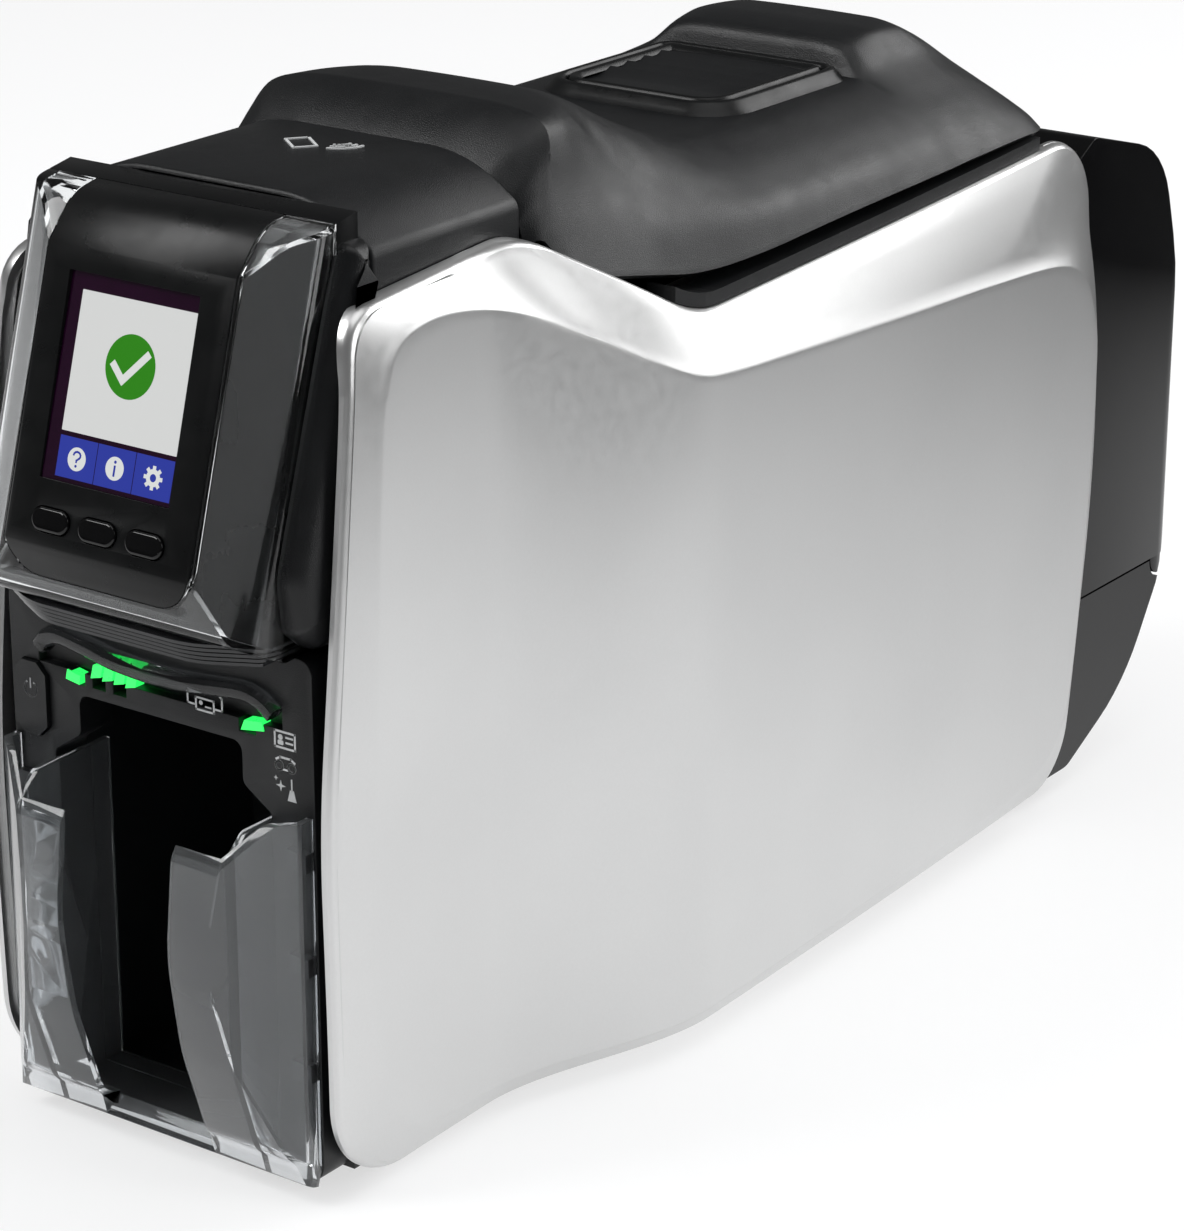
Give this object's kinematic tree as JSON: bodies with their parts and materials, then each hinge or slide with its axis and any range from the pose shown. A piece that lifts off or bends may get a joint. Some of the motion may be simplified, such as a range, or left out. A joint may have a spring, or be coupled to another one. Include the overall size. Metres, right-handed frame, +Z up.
{
  "type": "id card printer",
  "caption": "Slim desktop card printer with satin side panels, tilted display head, clear output hopper, hinged ribbon lid and a swing-down rear door over the card magazine.",
  "frame": {"origin": "on the table under the middle of the printer, level with the soles of its feet", "axes": "+Z up, the front with the display faces -Y, +X to the right of somebody who faces the front"},
  "size_m": [0.158, 0.4336, 0.2609],
  "materials": {
    "matte_black": "fine-grained matte black plastic",
    "gloss_black": "glossy black plastic",
    "silver": "satin silver paint",
    "clear": "clear polycarbonate",
    "screen": "lit display under a dark glass",
    "green_lens": "green translucent lens",
    "dark_clip": "dark plastic",
    "steel": "zinc-plated steel",
    "heat_sink": "bare aluminium",
    "roller_rubber": "ground rubber",
    "sticky_roller": "tacky cleaning rubber",
    "belt_rubber": "toothed belt rubber",
    "ribbon_supply": "colour film",
    "ribbon_takeup": "used colour film",
    "board": "green solder mask",
    "card_white": "blank white cards",
    "socket_metal": "plated socket shell",
    "rubber_feet": "soft rubber"
  },
  "bodies": {
    "chassis": {"base_tray": "matte_black", "left_frame_wall": "steel", "right_frame_wall": "steel", "left_side_panel": "silver", "right_side_panel": "silver", "front_fascia": "matte_black", "output_bay": "matte_black", "front_housing": "matte_black", "display_housing": "matte_black", "display_face": "gloss_black", "display_bezel": "clear", "screen_glass": "screen", "front_top_cover": "matte_black", "light_bar": "clear", "status_lenses": "green_lens", "output_hopper": "clear", "hopper_clips": "dark_clip", "lid_gasket": "matte_black", "lid_hinge_pins": "steel", "latch_keepers": "steel", "card_guide": "matte_black", "transport_belt": "belt_rubber", "motor_belt": "belt_rubber", "pick_belt": "belt_rubber", "transport_motor": "steel", "ribbon_film": "ribbon_supply", "ribbon_cassette": "matte_black", "circuit_board": "board", "card_magazine": "matte_black", "card_stack": "card_white", "rear_cover": "gloss_black", "door_hinge_pins": "steel", "power_inlet": "gloss_black", "data_sockets": "socket_metal", "feet": "rubber_feet", "screws": "steel"},
    "lid": {"lid_shell": "matte_black", "lid_frame": "matte_black", "printhead": "heat_sink", "printhead_bracket": "steel", "printhead_springs": "steel"},
    "latch": {"latch_paddle": "matte_black", "latch_axle": "steel", "latch_hooks": "steel", "latch_springs": "steel"},
    "left_menu": {"left_menu_button": "gloss_black"},
    "middle_menu": {"middle_menu_button": "gloss_black"},
    "right_menu": {"right_menu_button": "gloss_black"},
    "power": {"power_button": "matte_black"},
    "platen": {"platen_roller": "roller_rubber"},
    "transport": {"transport_roller": "roller_rubber"},
    "feed": {"feed_roller": "roller_rubber"},
    "exit": {"exit_roller": "roller_rubber"},
    "cleaner": {"cleaning_roller": "sticky_roller"},
    "pick": {"pick_roller": "roller_rubber"},
    "motor_rotor": {"motor_pulley": "steel"},
    "supply": {"ribbon_supply_spool": "ribbon_supply"},
    "takeup": {"ribbon_takeup_spool": "ribbon_takeup"},
    "pusher": {"card_pusher": "matte_black"},
    "door": {"rear_door": "gloss_black"}
  },
  "joints": [
    {"name": "lid_hinge", "type": "hinge", "parent": "chassis", "child": "lid", "pos_m": [0, 0.128, 0.207], "axis": [-1, 0, 0], "range_deg": [0, 80]},
    {"name": "latch_press", "type": "hinge", "parent": "lid", "child": "latch", "pos_m": [0, 0.012, 0.2285], "axis": [-1, 0, 0], "range_deg": [0, 3.5], "stiffness_Nm_per_rad": 2, "springref_deg": -3.44},
    {"name": "left_menu_press", "type": "slide", "parent": "chassis", "child": "left_menu", "axis": [0, 0.9588, -0.284], "range_m": [0, 0.0012], "stiffness_N_per_m": 400, "springref_m": -0.0005},
    {"name": "middle_menu_press", "type": "slide", "parent": "chassis", "child": "middle_menu", "axis": [0, 0.9588, -0.284], "range_m": [0, 0.0012], "stiffness_N_per_m": 400, "springref_m": -0.0005},
    {"name": "right_menu_press", "type": "slide", "parent": "chassis", "child": "right_menu", "axis": [0, 0.9588, -0.284], "range_m": [0, 0.0012], "stiffness_N_per_m": 400, "springref_m": -0.0005},
    {"name": "power_press", "type": "slide", "parent": "chassis", "child": "power", "axis": [0, 1, 0], "range_m": [0, 0.0015], "stiffness_N_per_m": 400, "springref_m": -0.0005},
    {"name": "platen_spin", "type": "hinge", "parent": "chassis", "child": "platen", "pos_m": [0, -0.02, 0.1335], "axis": [1, 0, 0], "continuous": true},
    {"name": "transport_spin", "type": "hinge", "parent": "chassis", "child": "transport", "pos_m": [0, 0.035, 0.1335], "axis": [1, 0, 0], "continuous": true},
    {"name": "feed_spin", "type": "hinge", "parent": "chassis", "child": "feed", "pos_m": [0, 0.085, 0.1335], "axis": [1, 0, 0], "continuous": true},
    {"name": "exit_spin", "type": "hinge", "parent": "chassis", "child": "exit", "pos_m": [0, -0.098, 0.1335], "axis": [1, 0, 0], "continuous": true},
    {"name": "motor_spin", "type": "hinge", "parent": "chassis", "child": "motor_rotor", "pos_m": [0, -0.02, 0.09], "axis": [1, 0, 0], "continuous": true},
    {"name": "pick_spin", "type": "hinge", "parent": "chassis", "child": "pick", "pos_m": [0, 0.1118, 0.118], "axis": [1, 0, 0], "continuous": true},
    {"name": "cleaner_spin", "type": "hinge", "parent": "chassis", "child": "cleaner", "pos_m": [0, 0.06, 0.1466], "axis": [1, 0, 0], "continuous": true},
    {"name": "supply_spin", "type": "hinge", "parent": "chassis", "child": "supply", "pos_m": [0, 0.03, 0.182], "axis": [1, 0, 0], "continuous": true},
    {"name": "takeup_spin", "type": "hinge", "parent": "chassis", "child": "takeup", "pos_m": [0, -0.07, 0.182], "axis": [1, 0, 0], "continuous": true},
    {"name": "pusher_slide", "type": "slide", "parent": "chassis", "child": "pusher", "axis": [0, 1, 0], "range_m": [0, 0.025], "stiffness_N_per_m": 20, "springref_m": -0.02},
    {"name": "door_hinge", "type": "hinge", "parent": "chassis", "child": "door", "pos_m": [0, 0.207, 0.062], "axis": [-1, 0, 0], "range_deg": [0, 75]}
  ],
  "couplings": [
    {"joint": "transport_spin", "follows": "platen_spin", "ratio": 1},
    {"joint": "feed_spin", "follows": "platen_spin", "ratio": 1},
    {"joint": "exit_spin", "follows": "platen_spin", "ratio": 1},
    {"joint": "motor_spin", "follows": "platen_spin", "ratio": 1},
    {"joint": "pick_spin", "follows": "platen_spin", "ratio": 1},
    {"joint": "takeup_spin", "follows": "supply_spin", "ratio": 1.3636}
  ]
}
